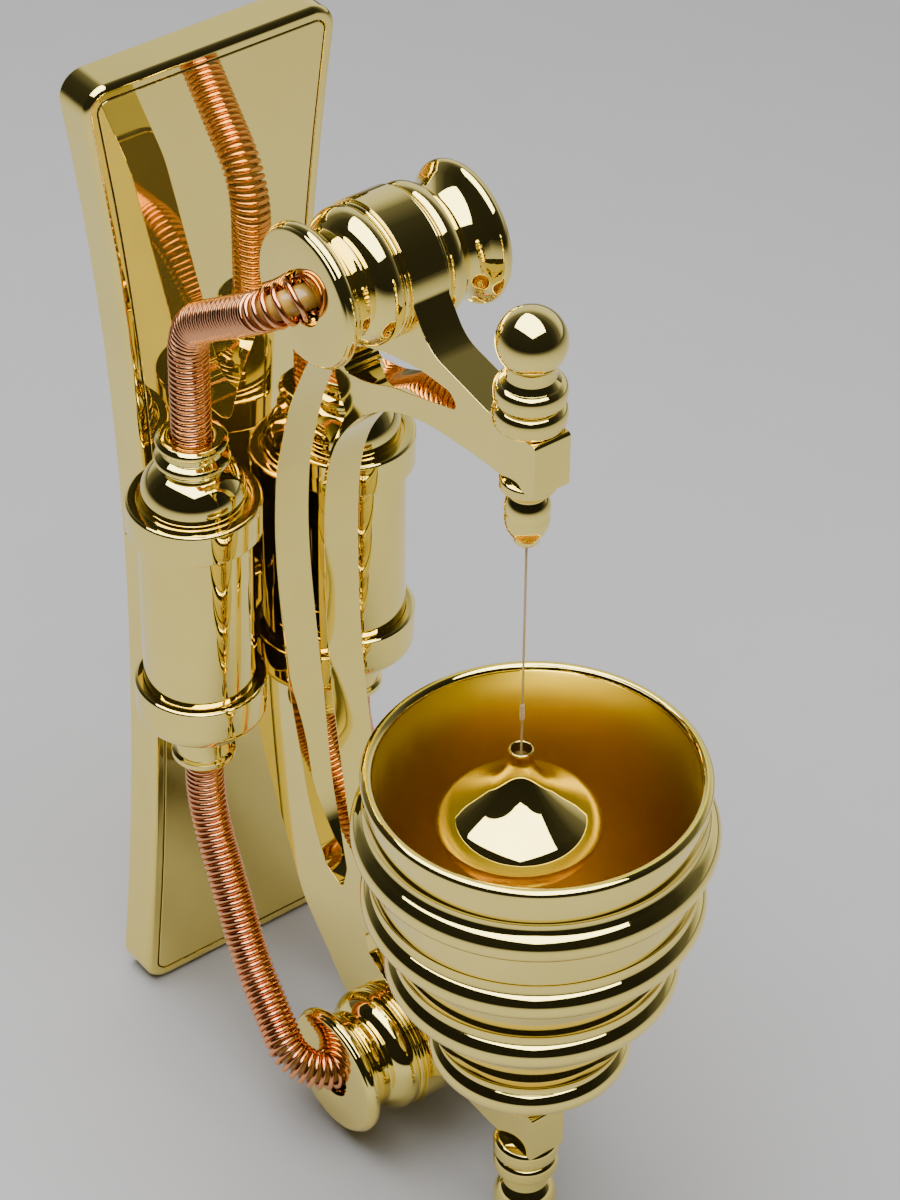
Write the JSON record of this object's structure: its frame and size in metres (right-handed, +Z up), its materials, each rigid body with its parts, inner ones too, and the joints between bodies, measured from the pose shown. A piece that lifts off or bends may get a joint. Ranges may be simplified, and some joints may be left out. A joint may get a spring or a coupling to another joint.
{
  "type": "drip fixture",
  "caption": "Polished brass drip stand: waisted mirror plate, C-shaped arm with hose-fed spools and cylinders, and a drip nozzle whose line hangs a bob in a beaded cup.",
  "frame": {"origin": "on the standing surface, under the middle of the overall box", "axes": "+X to the right, +Y back through the plate, +Z up"},
  "size_m": [0.0698, 0.1445, 0.2265],
  "materials": {
    "polished_brass": "polished, lacquered",
    "mirror_brass": "mirror polished sheet",
    "copper_wire": "bright drawn copper wire",
    "amber_hose": "glossy amber hose",
    "nylon_line": "clear nylon monofilament",
    "steel_screw": "bright steel"
  },
  "bodies": {
    "fixture": {"arm": "polished_brass", "arm_screw_lower": "steel_screw", "arm_screw_upper": "steel_screw", "backplate": "polished_brass", "ball_foot": "polished_brass", "barrel_left": "polished_brass", "barrel_right": "polished_brass", "bottom_cap_left": "polished_brass", "bottom_cap_right": "polished_brass", "cup": "polished_brass", "cup_seat": "polished_brass", "cup_stud": "polished_brass", "foot_collar": "polished_brass", "front_panel": "mirror_brass", "lower_axle": "polished_brass", "lower_coil_left": "copper_wire", "lower_coil_right": "copper_wire", "lower_hose_left": "amber_hose", "lower_hose_right": "amber_hose", "lower_spool_left": "polished_brass", "lower_spool_right": "polished_brass", "nozzle": "polished_brass", "saddle_left": "polished_brass", "saddle_right": "polished_brass", "spout_gland_left": "polished_brass", "spout_gland_right": "polished_brass", "top_cap_left": "polished_brass", "top_cap_right": "polished_brass", "top_gland_left": "polished_brass", "top_gland_right": "polished_brass", "upper_axle": "polished_brass", "upper_coil_left": "copper_wire", "upper_coil_right": "copper_wire", "upper_hose_left": "amber_hose", "upper_hose_right": "amber_hose", "upper_spool_left": "polished_brass", "upper_spool_right": "polished_brass", "valve_collar": "polished_brass"},
    "knob": {"valve_knob": "polished_brass"},
    "stop": {"line_stop": "nylon_line"},
    "pendulum": {"line": "nylon_line", "line_knot": "nylon_line", "bob": "polished_brass"}
  },
  "joints": [
    {"name": "knob_turn", "type": "hinge", "parent": "fixture", "child": "knob", "pos_m": [0, -0.03235, 0.2], "axis": [0, 0, 1], "range_deg": [0, 360]},
    {"name": "bob_swing_fore_aft", "type": "hinge", "parent": "fixture", "child": "stop", "pos_m": [0, -0.03235, 0.1724], "axis": [1, 0, 0], "range_deg": [-12, 4]},
    {"name": "bob_swing_side", "type": "hinge", "parent": "stop", "child": "pendulum", "pos_m": [0, -0.03235, 0.1724], "axis": [0, 1, 0], "range_deg": [-7, 7]}
  ]
}
